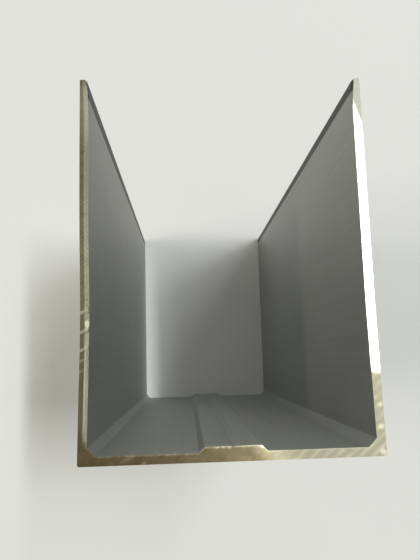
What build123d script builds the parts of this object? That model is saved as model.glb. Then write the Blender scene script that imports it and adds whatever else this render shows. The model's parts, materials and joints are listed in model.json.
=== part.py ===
from build123d import *
import os
from math import isclose

os.makedirs("parts", exist_ok=True)

# Driving sizes in millimetres
length = 165.0
web_width = 61.0
leg_depth = 80.4
wall = 1.8
pad_width = 13.6
pad_rise = 1.15
groove_width = 1.0
groove_depth = 0.25
inner_corner_flat = 1.7
inner_corner_blend = 0.4
outer_corner_round = 0.4
leg_taper_height = 2.9
leg_taper_depth = 0.3
leg_end_round = 0.4

# Positions that follow from the driving sizes
inner_x = web_width / 2 - wall
open_y = leg_depth / 2
back_y = -leg_depth / 2
web_y = back_y + wall
pad_y = web_y + pad_rise
taper_x = inner_x + leg_taper_depth
taper_y = open_y - leg_taper_height


def corners_at(sketch, x, y):
    """Both mirrored corners of the section at distance x from its middle, at height y."""
    return sketch.vertices().filter_by(
        lambda corner: isclose(abs(corner.X), x, abs_tol=1e-4)
        and isclose(corner.Y, y, abs_tol=1e-4)
    )


with BuildPart() as channel_profile:
    # Section: the web lies towards -Y and the channel's mouth opens towards +Y
    with BuildSketch(Plane.XY) as section:
        Rectangle(web_width, leg_depth)
        with Locations((0, open_y)):
            Rectangle(
                2 * inner_x,
                leg_depth - wall,
                align=(Align.CENTER, Align.MAX),
                mode=Mode.SUBTRACT,
            )

        # Flat at 45 degrees in each inner corner, blended into web and leg
        chamfer(corners_at(section, inner_x, web_y), length=inner_corner_flat)
        fillet(
            corners_at(section, inner_x, web_y + inner_corner_flat)
            + corners_at(section, inner_x - inner_corner_flat, web_y),
            radius=inner_corner_blend,
        )

        # Thicker pad along the middle of the web, with sloped sides
        with BuildLine():
            Polyline(
                (-pad_width / 2, web_y),
                (-pad_width / 2 + pad_rise, pad_y),
                (pad_width / 2 - pad_rise, pad_y),
                (pad_width / 2, web_y),
                close=True,
            )
        make_face()

        # Groove along the pad's centre line that guides a drill
        with BuildLine():
            Polyline(
                (-groove_width / 2, pad_y),
                (0, pad_y - groove_depth),
                (groove_width / 2, pad_y),
                close=True,
            )
        make_face(mode=Mode.SUBTRACT)

        # Shallow taper along the inside of each leg's free edge
        for side in (-1, 1):
            with BuildLine():
                Polyline(
                    (side * inner_x, taper_y),
                    (side * taper_x, open_y),
                    (side * inner_x, open_y),
                    close=True,
                )
            make_face(mode=Mode.SUBTRACT)

        # Rounded leg ends and outer corners
        fillet(
            corners_at(section, web_width / 2, open_y) + corners_at(section, taper_x, open_y),
            radius=leg_end_round,
        )
        fillet(corners_at(section, web_width / 2, back_y), radius=outer_corner_round)

    # Sawn square at both ends
    extrude(amount=length)

channel_profile.part.label = "channel_profile"
export_step(channel_profile.part, "parts/channel_profile.step")
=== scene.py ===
import json
import math

import bmesh
import bpy
from bpy.props import FloatProperty, FloatVectorProperty, PointerProperty
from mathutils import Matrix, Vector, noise

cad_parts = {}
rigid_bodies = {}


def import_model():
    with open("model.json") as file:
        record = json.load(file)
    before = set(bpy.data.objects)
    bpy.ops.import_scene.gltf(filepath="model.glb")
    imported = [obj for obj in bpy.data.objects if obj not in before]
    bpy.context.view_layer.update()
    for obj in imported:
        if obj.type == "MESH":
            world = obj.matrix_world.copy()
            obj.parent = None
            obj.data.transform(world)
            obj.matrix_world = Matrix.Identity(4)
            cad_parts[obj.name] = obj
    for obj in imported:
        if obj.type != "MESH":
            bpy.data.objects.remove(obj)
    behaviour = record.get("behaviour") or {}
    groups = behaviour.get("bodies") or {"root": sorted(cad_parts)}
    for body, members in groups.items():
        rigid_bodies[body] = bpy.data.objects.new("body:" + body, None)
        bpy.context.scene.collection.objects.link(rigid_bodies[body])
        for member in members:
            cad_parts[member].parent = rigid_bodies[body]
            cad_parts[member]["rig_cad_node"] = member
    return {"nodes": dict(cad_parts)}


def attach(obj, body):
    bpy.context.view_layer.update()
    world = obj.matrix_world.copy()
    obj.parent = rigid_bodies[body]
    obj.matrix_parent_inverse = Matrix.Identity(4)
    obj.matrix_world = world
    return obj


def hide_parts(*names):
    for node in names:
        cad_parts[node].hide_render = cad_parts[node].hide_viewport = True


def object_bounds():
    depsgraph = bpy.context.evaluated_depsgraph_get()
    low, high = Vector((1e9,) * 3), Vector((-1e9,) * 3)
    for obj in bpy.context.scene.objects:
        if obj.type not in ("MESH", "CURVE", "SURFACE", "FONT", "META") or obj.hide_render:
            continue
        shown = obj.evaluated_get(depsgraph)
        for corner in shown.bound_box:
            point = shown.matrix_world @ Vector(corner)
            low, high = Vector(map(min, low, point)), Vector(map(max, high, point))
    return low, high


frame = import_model()
cad_low, cad_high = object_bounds()

bl_info = {
    "name": "Sawn channel profile",
    "version": (1, 0, 0),
    "blender": (4, 5, 0),
    "location": "3D View > Sidebar > Channel",
    "description": "Models a sawn offcut of an aluminium channel and the paper it stands on",
    "category": "Add Mesh",
}

# One millimetre in the scene's unit
MM = 0.001

# Lines of the section that the CAD part has, in metres
WALL = 1.8 * MM
INNER_X = cad_high.x - WALL
WEB_Y = cad_low.y + WALL
PAD_Y = WEB_Y + 1.15 * MM
PAD_FOOT_X = 6.8 * MM
PAD_TOP_X = 5.65 * MM
GROOVE_X = 0.5 * MM
CORNER_X = INNER_X - 1.7 * MM
CORNER_Y = WEB_Y + 1.7 * MM
TAPER_Y = cad_high.y - 2.9 * MM
TAPER_IN = 0.3 * MM

# Distances too small to matter: for merging points, and for telling places apart
HAIR = 0.001 * MM
NEAR = 0.01 * MM

# How far tooth marks and dents run along a leg for each step across it
TOOTH_LEAN = 0.8
DENT_LEAN = 0.45

# How far marks wander, and how fast, in spacings of the marks, and how uneven relief is
MARK_WANDER = 0.3
WANDER_RATE = 0.3
UNEVEN = 0.6

# Dents across the left leg: place along it and width, in millimetres, and strength
DENTS = (
    (-9.6, 0.36, 0.85),
    (-13.6, 0.34, 1.0),
    (-17.2, 0.36, 1.0),
    (-19.3, 0.30, 0.45),
    (-21.4, 0.30, 0.35),
)

# Where the painted highlight on dents ends and where it is full, as shares of their width
DENT_HIGHLIGHT_EDGE = (1.25, 0.15)

# The lump of metal at the knee: place, and size and reach of its painted highlight
LUMP_X = -INNER_X - 0.12 * MM
LUMP_Y = -12.5 * MM
LUMP_SIZE = (0.45 * MM, 0.8 * MM)
LUMP_REACH = 1.4

# Painted glints on spots of pushed-up metal: x, y, size across and along, in millimetres, and
# brightness
GLINT_SPOTS = (
    (-21.7, -39.5, 0.70, 0.38, 0.32),
    (-20.9, -39.1, 0.70, 0.38, 0.32),
    (-20.1, -38.7, 0.70, 0.38, 0.32),
    (-17.5, -39.9, 0.40, 0.35, 0.60),
    (-5.2, -37.5, 0.50, 0.25, 0.30),
    (-3.2, -37.5, 0.45, 0.30, 0.65),
    (-2.0, -37.5, 0.40, 0.30, 0.55),
    (-0.8, -37.6, 0.40, 0.30, 0.60),
    (2.0, -37.5, 0.35, 0.25, 0.40),
    (5.6, -37.5, 0.55, 0.40, 0.45),
    (29.9, -30.2, 0.60, 0.55, 0.35),
    (29.8, -34.5, 0.80, 0.65, 0.40),
    (29.8, -39.3, 0.75, 0.70, 0.55),
)
GLINT_REACH = 1.3

# Die lines and scratches: how much longer than wide, their turn and their depth
DIE_STRETCH = 60.0
DIE_DEPTH = 0.006 * MM
SCRATCH_STRETCH = 14.0
SCRATCH_TURN = math.radians(36.0)
SCRATCH_DEPTH = 0.014 * MM

# Grain of each noise: scale, detail and roughness
DIE_LINES = (5200.0, 3.0, 0.6)
BROAD_LINES = (900.0, 2.0, 0.5)
CLOUD = (45.0, 3.0, 0.55)
SCRATCHES = (4200.0, 3.0, 0.6)
BLOTCHES = (520.0, 3.0, 0.6)
LIP_DOTS = (800.0, 1.0, 0.5)
STREAK_WANDER = (300.0, 1.0, 0.5)
STREAK_PATCHES = (350.0, 1.0, 0.5)
PAPER_FIBRE = (2500.0, 3.0, 0.6)

# Where the look of the metal changes, in millimetres: a zone begins at the first place and is
# full at the second
LEFT_SIDE = (0.0, -1.0)
RIGHT_SIDE = (0.0, 1.0)
LOW_LEG = (-37.0, -31.0)
NEAR_WEB = (-12.0, -20.0)
RISE = (-26.0, 5.0)
TOP = (22.0, 34.0)
LEFT_END = (38.0, 39.4)
STRIPE_WAIST = (-26.0, -4.0)
RIGHT_FOOT = (-22.5, -24.5)
FOOT_DIAGONAL = (-36.0, -25.0)
TIP_DIAGONAL = (132.9, 133.9)
TIP_SLANT = 3.4
LIP_DEPTH = (0.34, 0.14)
# Across the web: the painted shade next to the left corner
CORNER_SHADE_X = (-19.0, -27.0)

# The same, counted from a line of the section: the web's inner face, the start of the taper,
# the leg's inner face, the top of the corner flat, and the knee where the two cuts meet
# Up from the web's inner face: the painted shade next to the left corner
CORNER_SHADE_UP = (0.3, 0.05)
BAND_START = (-0.1, 0.1)
BAND_INSIDE = (0.7, 0.5)
RIGHT_LEG = (-1.0, 0.0)
BELOW_CORNER = (0.5, 0.0)
ABOVE_CORNER = (0.0, 2.0)
FINE_MARKS = (-5.0, -10.0)
COARSE_MARKS = (-1.0, 2.0)

# The same as shares of the wall's thickness, measured from the channel's inside
STRIPE_DEPTH = (0.55, 0.48)
FOLD_DEPTH = (0.12, 0.36)
DENT_DEPTH = (0.3, 0.55)
WAIST_DEPTH = 0.13

# How much the left leg's dark band widens for each step up
BAND_WIDENING = 0.0076

# How strongly some zones take their colour
LOW_LEG_SHARE = 0.55
LIP_SHARE = 0.7
TOP_SHARE = 0.3
TIP_SHARE = 0.6
LEFT_END_SHARE = 0.7
# Strength of the painted shade next to the left corner
CORNER_SHADE_SHARE = 0.35
FINE_SHARE = 0.75
COARSE_SHARE = 0.15

# First and second shade of a colour that changes, as shares of it
SKIN_SHADES = (0.93, 1.05)
BARE_SHADES = (0.86, 1.06)
PAPER_SHADES = (0.99, 1.01)
# Painted shade of the left leg's stripe, towards the fold near the web
FOLD_PAINTED_SHADES = (0.8, 0.5)

# Shade of a zone, as a share of the colour that it starts from
# Darkness of the painted shade next to the left corner
CORNER_SHADE_DARKNESS = 0.5
UP_LEG_SHADE = 0.8
TIP_SHADE = 1.35
LEFT_END_SHADE = 0.75
# Darkness of the painted shade in the valleys of the tooth marks
MARK_PAINTED_SHADE = 0.35
STREAK_SHADE = 1.35
# Brightness of the lump's painted highlight
LUMP_HIGHLIGHT = 0.68

# Width of the square sheet of paper
PAPER_SIZE = 6.0

# Lamps on the ceiling: name, place, size, power and colour
CEILING = 2.4
COOL = (0.955, 0.995, 0.975)
WARM = (1.0, 0.975, 0.87)
LAMPS = (
    ("right_strip", (0.756, 0.24), (0.085, 0.62), 20.5, COOL),
    ("right_glow", (0.65, 0.2), (0.14, 0.55), 5.6, COOL),
    ("right_end", (0.735, 0.84), (0.10, 0.56), 8.0, COOL),
    ("left_strip", (-2.064, -0.05), (0.06, 1.0), 31.0, WARM),
    ("left_end", (-2.064, 0.85), (0.06, 0.8), 5.0, WARM),
    ("right_far", (0.92, 0.2), (0.18, 0.62), 3.2, COOL),
)

# Light from the room: strength of each wall, colours of walls, ceiling and backdrop
NORTH_LIGHT = 2.08
SOUTH_LIGHT = 0.8
WEST_LIGHT = 0.38
WALL_COLOUR = (0.96, 1.0, 0.96)
HIGH_COLOUR = (0.05, 0.05, 0.05, 1.0)
OVERHEAD_COLOUR = (0.20, 0.16, 0.10, 1.0)
BACKDROP_COLOUR = (0.80, 0.80, 0.79, 1.0)

# Height in that light, 0 level and 1 straight up: where a wall ends and where it is full, and
# where the ceiling changes colour
END_WALLS = (0.55, 0.1)
WEST_WALL = (0.9, 0.5)
OVERHEAD = (0.75, 0.95)

# The camera: place in millimetres, turn in degrees, lens and sensor in millimetres
CAMERA_PLACE = (-8.701, -20.042, 277.162)
CAMERA_TURN = (8.101, -2.328, -1.618)
CAMERA_LENS = 35.638
CAMERA_SENSOR = 36.0

# Nearest and farthest distance that the camera sees, in metres
CAMERA_CLIP = (0.01, 50.0)


# Sizes and colours that a user would change

def millimetres(name, description, size):
    """A length property whose default is given in millimetres."""
    return FloatProperty(
        name=name,
        description=description,
        default=size * MM,
        min=0.0,
        precision=5,
        unit="LENGTH",
        subtype="DISTANCE",
    )


def tint(name, description, shade):
    """A colour property."""
    return FloatVectorProperty(
        name=name,
        description=description,
        default=shade,
        min=0.0,
        max=1.0,
        size=3,
        subtype="COLOR",
    )


class CutSizes(bpy.types.PropertyGroup):
    """Sizes of the relief at the upper sawn end."""

    crown: millimetres("Crown", "Height of the finely modelled band under the cut", 3.0)
    drop: millimetres("Drop", "How much lower the saw left the free edges than the web", 1.15)
    knee: millimetres("Knee", "Distance from the web's back to where the two cuts meet", 30.5)
    column: millimetres("Column", "Width of the mesh columns along the cut", 0.125)
    fine_pitch: millimetres("Fine pitch", "Spacing of the saw marks near the web", 0.56)
    bead_pitch: millimetres("Bead pitch", "Spacing of the soft beads on the left leg", 1.2)
    broad_pitch: millimetres("Broad pitch", "Spacing of the streaks on the right side", 2.0)
    fine_depth: millimetres("Fine depth", "Depth of the saw marks near the web", 0.035)
    bead_depth: millimetres("Bead depth", "Depth between the beads", 0.01)
    broad_depth: millimetres("Broad depth", "Depth of the streaks", 0.012)
    fall: millimetres("Fall", "How far the left leg's inner half slopes down", 0.12)
    arris: millimetres("Arris", "How far the saw broke the other inner edges", 0.012)
    burr: millimetres("Burr", "How far the burr stands into the channel", 0.08)
    rung: millimetres("Rung", "Depth of the dents across the left leg", 0.06)
    lump: millimetres("Lump", "How far the lump at the knee stands into the channel", 0.10)
    pinch: millimetres("Pinch", "How much thinner the left leg's tip is at the cut", 0.45)
    bow: millimetres("Bow", "How far the left leg's edge leans in near the knee", 0.3)


class PartColours(bpy.types.PropertyGroup):
    """Colours of the metal and of the paper."""

    skin: tint("Anodised skin", "Satin grey of the drawn faces", (0.36, 0.372, 0.343))
    edge_band: tint("Edge band", "Darker line along the free edges", (0.085, 0.088, 0.078))
    # Partly painted reflection: darker and browner than clean aluminium, like a dim warm ceiling
    # mirrored in it
    bare_and_reflection: tint("Bare aluminium", "Fresh metal of the sawn ends", (0.335, 0.285, 0.175))
    torn: tint("Torn aluminium", "Greyer metal where the teeth tore", (0.30, 0.282, 0.21))
    drag: tint("Dragged aluminium", "Paler metal where the teeth dragged", (0.44, 0.43, 0.335))
    # Partly painted highlight: this pale metal also paints the glints on the spots and the
    # highlight on the lump
    fresh_and_highlight: tint("Fresh aluminium", "Palest metal of spots and of the leg tips", (0.72, 0.70, 0.58))
    # Painted highlight: the dents are lighter than the metal around them
    dent_highlight: tint("Dents", "Metal of the dents across the left leg", (0.38, 0.34, 0.29))
    paper: tint("Paper", "Sheet that the part stands on", (0.83, 0.83, 0.82))


# Shader graphs, written as expressions

class Signal:
    """One value in a shader graph, on which maths is written as plain expressions."""

    def __init__(self, graph, socket):
        self.graph = graph
        self.socket = socket

    def maths(self, operation, *others):
        """The result of a Math node whose first value is this one."""
        values = dict(enumerate((self, *others)))
        return self.graph.value("ShaderNodeMath", {"operation": operation}, values)

    def __add__(self, other):
        return self.maths("ADD", other)

    __radd__ = __add__

    def __mul__(self, other):
        return self.maths("MULTIPLY", other)

    __rmul__ = __mul__

    def __sub__(self, other):
        return self.maths("SUBTRACT", other)

    def __rsub__(self, other):
        values = {0: other, 1: self}
        return self.graph.value("ShaderNodeMath", {"operation": "SUBTRACT"}, values)

    def __truediv__(self, other):
        return self.maths("DIVIDE", other)

    def __pow__(self, exponent):
        return self.maths("POWER", exponent)

    def __abs__(self):
        return self.maths("ABSOLUTE")

    def at_least(self, other):
        """The larger of this value and another."""
        return self.maths("MAXIMUM", other)

    def at_most(self, other):
        """The smaller of this value and another."""
        return self.maths("MINIMUM", other)

    def ramp(self, low, high, out_low=0.0, out_high=1.0):
        """This value stretched from low..high to out_low..out_high, with soft ends."""
        return self.graph.value(
            "ShaderNodeMapRange",
            {"interpolation_type": "SMOOTHSTEP"},
            {
                "Value": self,
                "From Min": low,
                "From Max": high,
                "To Min": out_low,
                "To Max": out_high,
            },
        )

    def fade(self, span, unit=MM, full=1.0):
        """A soft step from 0 at the span's first place to full at its second."""
        first, second = span
        return self.ramp(first * unit, second * unit, 0.0, full)


class Graph:
    """The nodes of one material or of the world."""

    def __init__(self, tree):
        self.tree = tree
        tree.nodes.clear()

    @classmethod
    def material(cls, name):
        """A new material and its empty graph."""
        material = bpy.data.materials.new(name)
        material.use_nodes = True
        return material, cls(material.node_tree)

    def node(self, kind, settings=None, sockets=None):
        """A node with its settings, then the values or links of its sockets."""
        made = self.tree.nodes.new(kind)
        for name, setting in (settings or {}).items():
            setattr(made, name, setting)
        for name, value in (sockets or {}).items():
            if isinstance(name, int):
                socket = made.inputs[name]
            else:
                socket = next(s for s in made.inputs if s.name == name and s.enabled)
            if isinstance(value, Signal):
                self.tree.links.new(value.socket, socket)
            else:
                socket.default_value = value
        return made

    def value(self, kind, settings=None, sockets=None, output=None):
        """The first or the named output of such a node."""
        made = self.node(kind, settings, sockets)
        if output is None:
            return Signal(self, next(s for s in made.outputs if s.enabled))
        return Signal(self, made.outputs[output])

    def place(self):
        """Object coordinates, in metres."""
        return self.value("ShaderNodeTexCoord", output="Object")

    def axes(self, vector):
        """The three parts of a vector."""
        made = self.node("ShaderNodeSeparateXYZ", None, {"Vector": vector})
        return [Signal(self, socket) for socket in made.outputs]

    def stretch(self, vector, scale, turn=(0.0, 0.0, 0.0)):
        """Coordinates turned and scaled for a pattern that runs one way."""
        sockets = {"Vector": vector, "Scale": scale, "Rotation": turn}
        return self.value("ShaderNodeMapping", {"vector_type": "TEXTURE"}, sockets)

    def noise(self, vector, grain):
        """Smooth noise from 0 to 1, of a grain's scale, detail and roughness."""
        scale, detail, roughness = grain
        sockets = {
            "Vector": vector,
            "Scale": scale,
            "Detail": detail,
            "Roughness": roughness,
        }
        return self.value("ShaderNodeTexNoise", {"normalize": True}, sockets)

    def mix(self, factor, first, second):
        """Two colours mixed."""
        settings = {"data_type": "RGBA"}
        return self.value("ShaderNodeMix", settings, {"Factor": factor, "A": first, "B": second})

    def vector_maths(self, operation, first, sockets):
        """The result of a Vector Math node."""
        values = {0: first, **sockets}
        return self.value("ShaderNodeVectorMath", {"operation": operation}, values)

    def bump(self, height, distance):
        """A normal tilted by a height."""
        return self.value("ShaderNodeBump", None, {"Height": height, "Distance": distance})

    def surface(self, sockets):
        """Joins a Principled shader with these sockets to the material's output."""
        shader = self.value("ShaderNodeBsdfPrincipled", None, sockets)
        self.node("ShaderNodeOutputMaterial", None, {"Surface": shader})


def opaque(colour):
    """A colour with full alpha."""
    return (*colour, 1.0)


def shaded(colour, factor):
    """A colour made darker or lighter."""
    return opaque([min(1.0, part * factor) for part in colour])


def mottled(graph, factor, colour, shades):
    """A colour that changes with the factor from its first shade to its second."""
    first, second = shades
    return graph.mix(factor, shaded(colour, first), shaded(colour, second))


def anodised_skin(colours):
    """Satin anodised aluminium: die lines, a dark band at the free edges, painted shade on the web
    by the left corner.
    """
    material, graph = Graph.material("anodised_skin")
    place = graph.place()
    x, y, z = graph.axes(place)
    drawn = graph.stretch(place, (1.0, 1.0, DIE_STRETCH))
    fine_lines = graph.noise(drawn, DIE_LINES)
    broad_lines = graph.noise(drawn, BROAD_LINES)
    cloud = graph.noise(place, CLOUD)

    # The band starts with the taper, and on the left leg it widens a little towards the top
    inside = (abs(x) - INNER_X).fade(BAND_INSIDE)
    widening = z * x.fade(LEFT_SIDE, full=BAND_WIDENING)
    band = (y - TAPER_Y + widening).fade(BAND_START) * inside

    uneven = (0.5 * broad_lines + 0.5 * cloud).ramp(0.3, 0.7)
    tone = mottled(graph, uneven, colours.skin, SKIN_SHADES)
    # Painted shade: the web darker next to the left corner
    corner_shade = x.fade(CORNER_SHADE_X, full=CORNER_SHADE_SHARE) * (y - WEB_Y).fade(CORNER_SHADE_UP)
    tone = graph.mix(corner_shade, tone, shaded(colours.skin, CORNER_SHADE_DARKNESS))
    height = 0.65 * fine_lines + 0.35 * broad_lines
    graph.surface({
        "Base Color": graph.mix(band, tone, opaque(colours.edge_band)),
        "Metallic": 0.77,
        "Roughness": 0.47 + 0.10 * fine_lines + 0.05 * cloud + 0.08 * band,
        "Anisotropic": 0.55,
        "Normal": graph.bump(height, DIE_DEPTH),
    })
    return material


def sawn_metal(colours, sizes):
    """Bare aluminium that a saw has cut: brown and smooth, or grey and dull where it tore. The
    dark brown is partly painted reflection.
    """
    material, graph = Graph.material("sawn_metal")
    place = graph.place()
    scratch = graph.stretch(place, (SCRATCH_STRETCH, 1.0, 1.0), (0.0, 0.0, SCRATCH_TURN))
    lines = graph.noise(scratch, SCRATCHES)
    blotch = graph.noise(place, BLOTCHES)
    zones = CutZones(graph, place, sizes)
    graph.surface({
        "Base Color": cut_colour(graph, zones, blotch, colours),
        "Metallic": 1.0,
        "Roughness": cut_roughness(zones, blotch, lines),
        "Normal": graph.bump(lines, SCRATCH_DEPTH),
    })
    return material


class CutZones:
    """Shader values, from 0 to 1, of the places on the cut that look unlike the rest."""

    def __init__(self, graph, place, sizes):
        x, y = graph.axes(place)[:2]
        across = abs(x)
        depth = depth_in_wall(across, y)
        left = x.fade(LEFT_SIDE)
        right = x.fade(RIGHT_SIDE)

        # The right leg is torn and dull at its tip and at its foot, and smooth between them
        self.tip = (y + TIP_SLANT * x).fade(TIP_DIAGONAL) * right
        foot = y.fade(RIGHT_FOOT) * (x + y).fade(FOOT_DIAGONAL) * right
        self.dull = self.tip + foot
        self.smooth_leg = (x - INNER_X).fade(RIGHT_LEG) * (1.0 - self.dull)

        # The inner edge of web and corners is broken in dots
        dots = graph.noise(place, LIP_DOTS).ramp(0.52, 0.66)
        in_web = (y - CORNER_Y).fade(BELOW_CORNER)
        self.lip = depth.fade(LIP_DEPTH) * in_web * (0.5 + 0.5 * dots)

        # The left leg's inner half is a paler stripe, narrower above the knee
        waist = y.fade(STRIPE_WAIST, full=WAIST_DEPTH * WALL)
        above_corner = (y - CORNER_Y).fade(ABOVE_CORNER)
        self.stripe = (depth + waist).fade(STRIPE_DEPTH, WALL) * left * above_corner
        self.near_web = y.fade(NEAR_WEB) * self.stripe
        # Where the stripe's painted shade deepens, towards the fold in the middle of the wall
        self.fold = depth.fade(FOLD_DEPTH, WALL)

        # Shares along the left leg, and along both
        self.low_leg = y.fade(LOW_LEG) * left
        self.rise = y.fade(RISE) * left
        self.left_end = y.fade(LEFT_END) * left
        self.top = y.fade(TOP)

        # Marks of the teeth: fine ones near the web, coarse ones past the knee, streaks at right
        past_knee = y - (cad_low.y + sizes.knee)
        fine = tooth_wave(across, y, sizes.fine_pitch) * past_knee.fade(FINE_MARKS)
        coarse = tooth_wave(across, y, sizes.bead_pitch) * past_knee.fade(COARSE_MARKS)
        # Painted shade: the fine and coarse marks are darker in their valleys, over the real
        # relief
        self.marks = (FINE_SHARE * fine + COARSE_SHARE * coarse) * self.stripe
        wander = 1.3 * MM * graph.noise(place, STREAK_WANDER)
        uneven = graph.noise(place, STREAK_PATCHES).ramp(0.3, 0.7, 0.2, 1.0)
        self.streaks = tooth_wave(across, y + wander, sizes.broad_pitch) ** 2.0 * foot * uneven

        self.dents = dent_share(across, y) * left * depth.fade(DENT_DEPTH, WALL)
        self.lump = lump_share(x, y)
        self.spots = glint_share(x, y)


def cut_colour(graph, zones, blotch, colours):
    """Brown metal with the colours of the zones laid over it, one after another."""
    # Partly painted reflection: the brown base is darker than clean aluminium
    colour = mottled(graph, blotch.ramp(0.35, 0.7), colours.bare_and_reflection, BARE_SHADES)
    up_leg = zones.rise - zones.rise * zones.top
    dragged = graph.mix(up_leg, opaque(colours.drag), shaded(colours.drag, UP_LEG_SHADE))
    # Painted shade: near the web the stripe darkens towards the fold
    near_web = mottled(graph, zones.fold, colours.drag, FOLD_PAINTED_SHADES)
    dragged = graph.mix(zones.near_web, dragged, near_web)
    layers = (
        (LOW_LEG_SHARE * zones.low_leg, opaque(colours.drag)),
        (zones.dull, opaque(colours.torn)),
        (LIP_SHARE * zones.lip, opaque(colours.drag)),
        (zones.stripe + zones.smooth_leg, dragged),
        (TOP_SHARE * zones.top, opaque(colours.fresh_and_highlight)),
        (TIP_SHARE * zones.tip * zones.top, shaded(colours.skin, TIP_SHADE)),
        (LEFT_END_SHARE * zones.left_end, shaded(colours.bare_and_reflection, LEFT_END_SHADE)),
        # Painted shade in the valleys between the tooth marks
        (zones.marks, shaded(colours.torn, MARK_PAINTED_SHADE)),
        (zones.streaks, shaded(colours.torn, STREAK_SHADE)),
        # Painted highlight on the dents across the left leg
        (zones.dents, opaque(colours.dent_highlight)),
        # Painted highlight on the lump at the knee
        (zones.lump, shaded(colours.fresh_and_highlight, LUMP_HIGHLIGHT)),
        # Painted glints on the spots of pushed-up metal
        (zones.spots, opaque(colours.fresh_and_highlight)),
    )
    for share, layer in layers:
        colour = graph.mix(share, colour, layer)
    return colour


def cut_roughness(zones, blotch, lines):
    """Smooth where the saw slid, duller up the left leg, where it tore, and on dents and lump."""
    rough = 0.17 + 0.10 * lines + 0.05 * blotch + 0.05 * zones.lip + 0.05 * zones.top
    rough = rough + zones.rise * (0.04 + 0.03 * zones.stripe) + 0.06 * zones.near_web
    return rough + (0.30 * zones.dull + 0.20 * zones.dents + 0.22 * zones.lump).at_most(0.3)


def depth_in_wall(across, y):
    """Shader value: how deep a place of the cut lies behind the channel's inner faces."""
    pad = (PAD_FOOT_X - across).at_least(0.0).at_most(PAD_Y - WEB_Y)
    below_web = pad + WEB_Y - y
    past_corner = (across - y + (WEB_Y - CORNER_X)) * math.sqrt(0.5)
    return below_web.at_least(past_corner).at_least(across - INNER_X)


def tooth_wave(across, y, pitch):
    """Shader value: 1 in the valleys between the saw's tooth marks, 0 on their tops."""
    phase = (y - TOOTH_LEAN * across) * (math.tau / pitch)
    return 0.5 + 0.5 * phase.maths("SINE")


def ellipse(x, y, centre, size, reach):
    """Shader value: 1 at an ellipse's centre, fading to 0 around it. Centre and size in metres."""
    aside = (x - centre[0]) * (1.0 / size[0])
    along = (y - centre[1]) * (1.0 / size[1])
    return (aside * aside + along * along).ramp(reach, 0.0)


def dent_share(across, y):
    """Shader value: 1 along the slanted dents near the knee."""
    total = 0.0
    for position, width, strength in DENTS:
        off = abs(y - position * MM + DENT_LEAN * (across - INNER_X))
        total = total + strength * off.fade([share * width for share in DENT_HIGHLIGHT_EDGE])
    return total


def glint_share(x, y):
    """Shader value: the brightness of the glints painted on the spots of pushed-up metal."""
    total = 0.0
    for spot_x, spot_y, width, height, strength in GLINT_SPOTS:
        centre = (spot_x * MM, spot_y * MM)
        size = (width * MM, height * MM)
        total = total + strength * ellipse(x, y, centre, size, GLINT_REACH)
    return total


def lump_share(x, y):
    """Shader value: 1 on the lump of metal at the knee."""
    return ellipse(x, y, (LUMP_X, LUMP_Y), LUMP_SIZE, LUMP_REACH)


def paper_sheet(colours):
    """Matt pale paper."""
    material, graph = Graph.material("paper_sheet")
    fibre = graph.noise(graph.place(), PAPER_FIBRE)
    graph.surface({
        "Base Color": mottled(graph, fibre, colours.paper, PAPER_SHADES),
        "Roughness": 0.85,
        "Specular IOR Level": 0.2,
    })
    return material


# Editing in code, as by hand

def deselect():
    """Object mode, with nothing selected."""
    if bpy.context.object and bpy.context.object.mode != "OBJECT":
        bpy.ops.object.mode_set(mode="OBJECT")
    bpy.ops.object.select_all(action="DESELECT")


def only(piece):
    """Makes a piece the one selected, active object."""
    deselect()
    piece.select_set(True)
    bpy.context.view_layer.objects.active = piece


def pick(piece, kind, chosen):
    """Selects the faces or edges for which chosen is true, in edit mode, and counts them."""
    bpy.ops.mesh.select_mode(type=kind)
    bpy.ops.mesh.select_all(action="DESELECT")
    shape = bmesh.from_edit_mesh(piece.data)
    count = 0
    for part in {"FACE": shape.faces, "EDGE": shape.edges}[kind]:
        if chosen(part):
            part.select = True
            count += 1
    shape.select_flush_mode()
    bmesh.update_edit_mesh(piece.data)
    return count


def slice_at(piece, axis, position, chosen):
    """Cuts the chosen faces by a plane square to an axis."""
    point = [0.0, 0.0, 0.0]
    normal = [0.0, 0.0, 0.0]
    point[axis] = position
    normal[axis] = 1.0
    if not pick(piece, "FACE", chosen):
        raise RuntimeError(f"{piece.name} has no face to cut at {position} on axis {axis}")
    bpy.ops.mesh.bisect(plane_co=point, plane_no=normal)


def relief(piece, name, depth, direction, shape):
    """Moves a piece's points by depth times the weight, 0 to 1, that shape gives at each."""
    only(piece)
    group = piece.vertex_groups.new(name=name)
    for point in piece.data.vertices:
        weight = shape(point.co)
        if weight > 0.0:
            group.add([point.index], min(1.0, weight), "REPLACE")
    push = piece.modifiers.new(name, "DISPLACE")
    push.vertex_group = group.name
    push.direction = direction
    push.mid_level = 0.0
    push.strength = depth
    bpy.ops.object.modifier_apply(modifier=push.name)
    piece.vertex_groups.remove(piece.vertex_groups[name])


def clamp(value):
    """A value held between 0 and 1."""
    return max(0.0, min(1.0, value))


def smooth(value, low, high):
    """A soft step from 0 at low to 1 at high."""
    share = clamp((value - low) / (high - low))
    return share * share * (3.0 - 2.0 * share)


def fade(value, span, line=0.0):
    """A soft step from 0 to 1 between two places, given in millimetres past a line."""
    first, second = span
    return smooth(value, line + first * MM, line + second * MM)


def from_inside(spot):
    """Distance of a point of the metal from the channel's inner faces."""
    web_top = WEB_Y + max(0.0, min(PAD_Y - WEB_Y, PAD_FOOT_X - abs(spot.x)))
    corner = (abs(spot.x) - CORNER_X - spot.y + WEB_Y) * math.sqrt(0.5)
    leg = abs(spot.x) - INNER_X - TAPER_IN * clamp((spot.y - TAPER_Y) / (cad_high.y - TAPER_Y))
    return max(0.0, leg, web_top - spot.y, corner)


def near_inside(spot, reach):
    """Share that is 1 on the channel's inner faces and 0 from the given depth behind them."""
    return clamp(1.0 - from_inside(spot) / reach)


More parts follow.
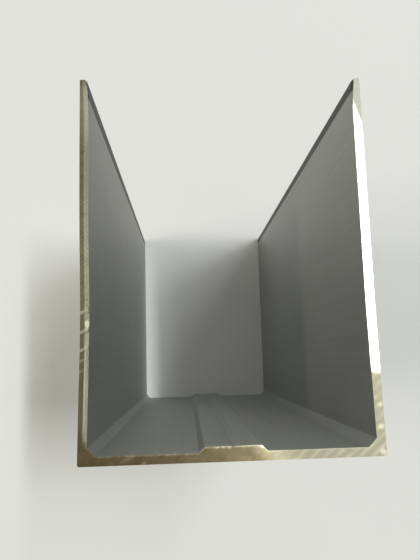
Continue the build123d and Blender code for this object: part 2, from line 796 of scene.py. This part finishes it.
def near_cut(spot, reach):
    """Share that is 1 at the upper end and 0 from the given distance below it."""
    return clamp(1.0 - (cad_high.z - spot.z) / reach)


def ripple(spot, pitch):
    """Saw marks from 0 to 1, whose lines lean away from the web on both sides."""
    drift = MARK_WANDER * noise.noise(spot * (WANDER_RATE / pitch))
    phase = (spot.y - TOOTH_LEAN * abs(spot.x)) / pitch + drift
    return 0.5 + 0.5 * math.sin(math.tau * phase)


def patchy(spot, size):
    """Uneven strength, about 1, that changes over the given size."""
    return 1.0 + UNEVEN * noise.noise(spot / size)


class CutDetail:
    """Fixed sizes of the fine grid and of the relief under the upper cut."""

    # Angles below which faces are taken as one, and above which an edge stays sharp
    flat_angle = math.radians(0.5)
    sharp_angle = math.radians(30.0)

    # How far up or down the normal of a face of the sawn ends points at least
    end_normal = 0.6

    # Least share of an edge's length that runs along an axis for it to count as along it
    along_axis = 0.99

    # The fine grid under the cut: its levels as shares of its height, numbers of lines, and
    # places across the web, up the pad and along the legs in millimetres
    levels = (0.5, 0.78, 0.92, 0.97)
    wall_lines = 10
    corner_lines = 4
    web_lines = (14.0, 21.0)
    pad_lines = (0.0, 0.19, 0.38, 0.57, 0.76, 0.95, 1.05)
    leg_lines = (-27.0, -18.0, 0.0, 9.5, 19.0, 28.5, 33.0, 35.0, 38.7, 39.5)
    most_columns = 100

    # How far below the cut each kind of relief reaches
    mark_reach = 0.4 * MM
    burr_reach = 0.45 * MM
    arris_reach = 0.5 * MM
    lump_reach = 0.9 * MM
    slope_reach = 1.2 * MM

    # The same for the pinched tips, as a share of the grid's height
    pinch_reach = 0.7

    # How deep behind the channel's inner faces it reaches: the inner half of the left leg, the
    # width over which that half ends, the broken edge and the burr
    half_wall = 0.5 * WALL
    half_fade = 0.2 * WALL
    arris_width = 0.19 * MM
    burr_width = 0.4 * WALL

    # The left leg's slope: its width as a share of the wall, and how that wavers
    slope_width = 0.52
    slope_waver = 0.03
    slope_grain = 700.0

    # Where relief starts and is full, in millimetres: to the left or right of the middle, past
    # the top of the corner flat, past the left leg's inner face, and before the free edge
    bead_side = (0.0, 9.0)
    broad_side = (2.0, 14.0)
    fine_start = (1.5, 4.0)
    slope_start = (-0.2, 2.2)
    arris_side = (0.0, 1.5)
    pinch_start = (-8.0, -1.5)

    # Where the burrs of the legs start and that of the web ends
    burr_start = 1.0 * MM
    web_burr_end = PAD_Y + 0.3 * MM

    # Size of the patches in which relief is stronger or weaker
    bead_patch = 2.2 * MM
    broad_patch = 1.4 * MM
    arris_patch = 0.9 * MM
    leg_burr_patch = 1.8 * MM
    web_burr_patch = 1.5 * MM

    # Height of a burr in the valleys between the tooth marks, and what it gains at their tops
    leg_teeth = (0.35, 0.4)
    web_teeth = (0.2, 0.5)

    # Strength of the fine marks on the outer half, of the broken edge, and of the right leg's
    # burr and pinch against the left leg's
    outer_share = 0.1
    arris_share = 0.75
    right_burr_share = 0.5
    right_pinch_share = 1.7

    # Length of the lump along the leg and its depth, and middle and length of the bow
    lump_length = 0.6 * MM
    lump_depth = 0.5 * MM
    bow_middle = -13.0 * MM
    bow_length = 17.0 * MM


class CHANNEL_OT_sawn_profile(bpy.types.Operator):
    """Model the channel offcut with its two sawn ends"""

    bl_idname = "channel.sawn_profile"
    bl_label = "Sawn profile"

    def execute(self, context):
        sizes = context.scene.cut_sizes
        piece = self.copy_of_solid()
        self.crown_grid(piece, sizes)
        self.saw_cut(piece, sizes)
        self.finish_faces(piece, context.scene.part_colours, sizes)
        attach(piece, "root")
        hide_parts("channel_profile")
        return {"FINISHED"}

    def copy_of_solid(self):
        """A copy of the CAD node, merged, with flat faces in one."""
        only(frame["nodes"]["channel_profile"])
        bpy.ops.object.duplicate()
        piece = bpy.context.object
        piece.name = "sawn_channel"
        piece.data.name = "sawn_channel"
        del piece["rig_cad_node"]
        bpy.ops.mesh.customdata_custom_splitnormals_clear()
        bpy.ops.object.mode_set(mode="EDIT")
        bpy.ops.mesh.select_all(action="SELECT")
        bpy.ops.mesh.remove_doubles(threshold=HAIR)
        bpy.ops.mesh.dissolve_limited(angle_limit=CutDetail.flat_angle)
        return piece

    def crown_grid(self, piece, sizes):
        """A fine grid on the upper cut and on the walls just under it."""
        low = cad_high.z - sizes.crown
        slice_at(piece, 2, low, lambda face: True)

        def in_crown(face):
            return face.calc_center_median().z > low + HAIR

        for share in CutDetail.levels:
            slice_at(piece, 2, low + share * sizes.crown, in_crown)
        for step in range(CutDetail.wall_lines):
            inset = step * WALL / CutDetail.wall_lines
            for side in (-1, 1):
                slice_at(piece, 0, side * (INNER_X + inset), in_crown)
            if step:
                slice_at(piece, 1, cad_low.y + inset, in_crown)
        for step in range(1, CutDetail.corner_lines):
            inset = step * (INNER_X - CORNER_X) / CutDetail.corner_lines
            slice_at(piece, 1, WEB_Y + inset, in_crown)
            for side in (-1, 1):
                slice_at(piece, 0, side * (CORNER_X + inset), in_crown)
        web_lines = [across * MM for across in CutDetail.web_lines]
        for across in (PAD_FOOT_X, PAD_TOP_X, GROOVE_X, CORNER_X, *web_lines):
            for side in (-1, 1):
                slice_at(piece, 0, side * across, in_crown)
        slice_at(piece, 0, 0.0, in_crown)
        for up in CutDetail.pad_lines:
            slice_at(piece, 1, WEB_Y + up * MM, in_crown)
        for position in CutDetail.leg_lines:
            slice_at(piece, 1, position * MM, in_crown)
        for position in (CORNER_Y, cad_low.y + sizes.knee, TAPER_Y):
            slice_at(piece, 1, position, in_crown)
        self.columns(piece, sizes, low)

    def columns(self, piece, sizes, low):
        """Splits the long faces of the crown into narrow columns."""
        def run_along(edge, axis):
            first, last = (point.co for point in edge.verts)
            run = last - first
            slanted = abs(run[axis]) < CutDetail.along_axis * run.length
            if min(first.z, last.z) < low + NEAR or slanted:
                return 0.0
            return run.length

        for axis in (1, 0):
            shape = bmesh.from_edit_mesh(piece.data)
            runs = {round(run_along(edge, axis), 6) for edge in shape.edges}
            for span in sorted(runs, reverse=True):
                cuts = min(CutDetail.most_columns, round(span / sizes.column) - 1)
                if cuts < 1:
                    continue
                pick(piece, "EDGE", lambda edge: abs(run_along(edge, axis) - span) < NEAR)
                bpy.ops.mesh.subdivide(number_cuts=cuts, quadcorner="STRAIGHT_CUT")

    def saw_cut(self, piece, sizes):
        """The relief of the upper cut, from its finest marks to its long slopes."""
        bpy.ops.object.mode_set(mode="OBJECT")
        self.tooth_marks(piece, sizes)
        self.broken_edges(piece, sizes)
        self.rungs(piece, sizes)
        self.burrs(piece, sizes)
        self.long_slopes(piece, sizes)

    def tooth_marks(self, piece, sizes):
        """Fine marks near the web, beads on the left leg and streaks on the right side."""
        knee = cad_low.y + sizes.knee

        def inner_zone(spot):
            return smooth(CutDetail.half_wall - from_inside(spot), 0.0, CutDetail.half_fade)

        def fine(spot):
            share = smooth(-spot.x, CORNER_X, INNER_X)
            share *= fade(spot.y - knee, FINE_MARKS)
            share *= CutDetail.outer_share + (1.0 - CutDetail.outer_share) * inner_zone(spot)
            share *= fade(spot.y, CutDetail.fine_start, CORNER_Y)
            return share * ripple(spot, sizes.fine_pitch) * near_cut(spot, CutDetail.mark_reach)

        def beads(spot):
            share = fade(-spot.x, CutDetail.bead_side) * fade(spot.y - knee, COARSE_MARKS)
            share *= inner_zone(spot) * patchy(spot, CutDetail.bead_patch)
            return share * ripple(spot, sizes.bead_pitch) * near_cut(spot, CutDetail.mark_reach)

        def broad(spot):
            share = fade(spot.x, CutDetail.broad_side) * patchy(spot, CutDetail.broad_patch)
            return share * ripple(spot, sizes.broad_pitch) * near_cut(spot, CutDetail.mark_reach)

        relief(piece, "fine_marks", -sizes.fine_depth, "Z", fine)
        relief(piece, "beads", -sizes.bead_depth, "Z", beads)
        relief(piece, "streaks", -sizes.broad_depth, "Z", broad)

    def broken_edges(self, piece, sizes):
        """The inward slope of the left leg's cut, and the broken inner edge elsewhere."""
        def inner_slope(spot):
            if spot.x > 0.0:
                return 0.0
            side = fade(spot.y, CutDetail.slope_start, CORNER_Y)
            waver = CutDetail.slope_waver * noise.noise(spot * CutDetail.slope_grain)
            width = WALL * (CutDetail.slope_width + waver)
            return side * near_inside(spot, width) * near_cut(spot, CutDetail.slope_reach)

        def arris(spot):
            side = fade(spot.x, CutDetail.arris_side, -INNER_X)
            share = clamp(CutDetail.arris_share * patchy(spot, CutDetail.arris_patch))
            share *= near_cut(spot, CutDetail.arris_reach)
            return side * near_inside(spot, CutDetail.arris_width) * share

        relief(piece, "inner_slope", -sizes.fall, "Z", inner_slope)
        relief(piece, "arris", -sizes.arris, "Z", arris)

    def rungs(self, piece, sizes):
        """Slanted dents across the left leg near the knee, where the saw was set again."""
        def dents(spot):
            if spot.x > -INNER_X:
                return 0.0
            in_wall = abs(spot.x) - INNER_X
            depth = 0.0
            for position, width, strength in DENTS:
                off = (spot.y - position * MM + DENT_LEAN * in_wall) / (width * MM)
                depth += strength * math.exp(-(off ** 2))
            return depth * (1.0 - in_wall / WALL) * near_cut(spot, CutDetail.slope_reach)

        relief(piece, "rungs", -sizes.rung, "Z", dents)

    def burrs(self, piece, sizes):
        """Metal that the saw pushed over the inner edges, and a lump of it at the knee."""
        knee = cad_low.y + sizes.knee

        def burr(spot, pitch, teeth, patch):
            least, added = teeth
            tooth = least + added * (1.0 - ripple(spot, pitch))
            edge = near_inside(spot, CutDetail.burr_width) * near_cut(spot, CutDetail.burr_reach)
            return edge, clamp(tooth * patchy(spot, patch))

        def leg_burr(spot):
            pitch = sizes.fine_pitch if spot.y < knee else sizes.bead_pitch
            edge, height = burr(spot, pitch, CutDetail.leg_teeth, CutDetail.leg_burr_patch)
            leg = smooth(spot.y, WEB_Y + CutDetail.burr_start, CORNER_Y + CutDetail.burr_start)
            return leg * edge * height

        def left_burr(spot):
            return leg_burr(spot) if spot.x < 0.0 else 0.0

        def right_burr(spot):
            return CutDetail.right_burr_share * leg_burr(spot) if spot.x > 0.0 else 0.0

        def web_burr(spot):
            if spot.y > CutDetail.web_burr_end:
                return 0.0
            pitch = sizes.fine_pitch
            edge, height = burr(spot, pitch, CutDetail.web_teeth, CutDetail.web_burr_patch)
            return edge * height

        def lump(spot):
            if spot.x > 0.0:
                return 0.0
            off = (spot.y - LUMP_Y) / CutDetail.lump_length
            away = from_inside(spot) / CutDetail.lump_depth
            return math.exp(-off * off - away * away) * near_cut(spot, CutDetail.lump_reach)

        relief(piece, "left_burr", sizes.burr, "X", left_burr)
        relief(piece, "right_burr", -sizes.burr, "X", right_burr)
        relief(piece, "web_burr", sizes.burr, "Y", web_burr)
        relief(piece, "lump", sizes.lump, "X", lump)

    def long_slopes(self, piece, sizes):
        """The cut falls towards the knee, the left leg leans in and the leg tips are pinched."""
        low = cad_high.z - sizes.crown
        knee = cad_low.y + sizes.knee

        def bow(spot):
            if spot.x >= -CORNER_X or spot.z <= low - NEAR:
                return 0.0
            off = (spot.y - CutDetail.bow_middle) / CutDetail.bow_length
            return math.exp(-off * off)

        def cut_slope(spot):
            fall = min(1.0, (spot.y - cad_low.y) / (knee - cad_low.y))
            return clamp((spot.z - low) / sizes.crown) * fall

        def pinch(spot):
            tip = fade(spot.y, CutDetail.pinch_start, cad_high.y)
            from_outside = clamp((cad_high.x - abs(spot.x)) / (WALL - TAPER_IN))
            return tip * from_outside * near_cut(spot, CutDetail.pinch_reach * sizes.crown)

        def left_pinch(spot):
            return pinch(spot) if spot.x < 0.0 else 0.0

        def right_pinch(spot):
            return pinch(spot) if spot.x > 0.0 else 0.0

        relief(piece, "bow", sizes.bow, "X", bow)
        relief(piece, "cut_slope", -sizes.drop, "Z", cut_slope)
        relief(piece, "left_pinch", -sizes.pinch, "X", left_pinch)
        relief(piece, "right_pinch", CutDetail.right_pinch_share * sizes.pinch, "X", right_pinch)

    def finish_faces(self, piece, colours, sizes):
        """Smooth shading, and each material on its faces."""
        only(piece)
        bpy.ops.object.shade_smooth_by_angle(angle=CutDetail.sharp_angle)
        piece.data.materials.clear()
        piece.data.materials.append(anodised_skin(colours))
        piece.data.materials.append(sawn_metal(colours, sizes))
        bpy.ops.object.mode_set(mode="EDIT")
        if not pick(piece, "FACE", lambda face: abs(face.normal.z) > CutDetail.end_normal):
            raise RuntimeError("The sawn ends have no faces")
        piece.active_material_index = 1
        bpy.ops.object.material_slot_assign()
        bpy.ops.object.mode_set(mode="OBJECT")


class CHANNEL_OT_stage(bpy.types.Operator):
    """Set up the paper, the light and the camera"""

    bl_idname = "channel.stage"
    bl_label = "Paper, light and camera"

    def execute(self, context):
        self.paper(context.scene.part_colours)
        for lamp in LAMPS:
            self.lamp(*lamp)
        self.room()
        self.camera(context.scene)
        context.scene.view_settings.view_transform = "Standard"
        return {"FINISHED"}

    def paper(self, colours):
        """A large sheet under the part."""
        deselect()
        bpy.ops.mesh.primitive_plane_add(size=PAPER_SIZE, location=(0.0, 0.0, 0.0))
        sheet = bpy.context.object
        sheet.name = "paper"
        sheet.data.materials.append(paper_sheet(colours))

    def lamp(self, name, place, size, power, colour):
        """One flat lamp on the ceiling, facing down."""
        bpy.ops.object.light_add(type="AREA", location=(*place, CEILING))
        lamp = bpy.context.object
        lamp.name = name
        lamp.data.shape = "RECTANGLE"
        lamp.data.size, lamp.data.size_y = size
        lamp.data.energy = power
        lamp.data.color = colour

    def room(self):
        """Low light from three walls, a dim warm ceiling and a pale backdrop."""
        world = bpy.data.worlds.new("soft_room")
        world.use_nodes = True
        bpy.context.scene.world = world
        graph = Graph(world.node_tree)
        x, y, z = graph.axes(graph.value("ShaderNodeTexCoord", output="Generated"))

        # How squarely a direction meets each wall, which is lit up to its own height. The tiny
        # amount avoids a division by zero straight up
        spread = x * x + y * y + 0.000001
        along_y = y * abs(y) / spread
        along_x = x * abs(x) / spread
        north = along_y.ramp(0.0, 1.0, 0.0, NORTH_LIGHT)
        south = along_y.ramp(0.0, -1.0, 0.0, SOUTH_LIGHT)
        west = along_x.ramp(0.0, -1.0, 0.0, WEST_LIGHT)
        level = (north + south) * z.ramp(*END_WALLS) + west * z.ramp(*WEST_WALL)

        ceiling = graph.mix(z.ramp(*OVERHEAD), HIGH_COLOUR, OVERHEAD_COLOUR)
        walls = graph.vector_maths("SCALE", WALL_COLOUR, {"Scale": level})
        both = graph.vector_maths("ADD", ceiling, {1: walls})
        seen = graph.value("ShaderNodeLightPath", output="Is Camera Ray")
        shown = graph.mix(seen, both, BACKDROP_COLOUR)
        light = graph.value("ShaderNodeBackground", None, {"Color": shown, "Strength": 1.0})
        graph.node("ShaderNodeOutputWorld", None, {"Surface": light})

    def camera(self, scene):
        """The photograph's view, straight down into the channel."""
        turn = [math.radians(part) for part in CAMERA_TURN]
        place = [part * MM for part in CAMERA_PLACE]
        bpy.ops.object.camera_add(location=place, rotation=turn)
        camera = bpy.context.object
        camera.data.sensor_fit = "AUTO"
        camera.data.sensor_width = CAMERA_SENSOR
        camera.data.lens = CAMERA_LENS
        camera.data.clip_start, camera.data.clip_end = CAMERA_CLIP
        scene.camera = camera


class CHANNEL_PT_panel(bpy.types.Panel):
    """Sizes, colours and steps of the sawn channel"""

    bl_idname = "CHANNEL_PT_panel"
    bl_label = "Sawn channel"
    bl_space_type = "VIEW_3D"
    bl_region_type = "UI"
    bl_category = "Channel"

    def draw(self, context):
        for group in (context.scene.cut_sizes, context.scene.part_colours):
            for name in group.__annotations__:
                self.layout.prop(group, name)
        for step in STEPS:
            self.layout.operator(step.bl_idname)


STEPS = (CHANNEL_OT_sawn_profile, CHANNEL_OT_stage)
CLASSES = (CutSizes, PartColours, *STEPS, CHANNEL_PT_panel)


def register():
    """Adds the sizes, colours, steps and the panel."""
    for part in CLASSES:
        bpy.utils.register_class(part)
    bpy.types.Scene.cut_sizes = PointerProperty(type=CutSizes)
    bpy.types.Scene.part_colours = PointerProperty(type=PartColours)


def unregister():
    """Takes away all that register adds."""
    del bpy.types.Scene.part_colours
    del bpy.types.Scene.cut_sizes
    for part in reversed(CLASSES):
        bpy.utils.unregister_class(part)


def main():
    """Registers the add-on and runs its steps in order."""
    register()
    bpy.ops.channel.sawn_profile()
    bpy.ops.channel.stage()


if __name__ == "__main__":
    main()
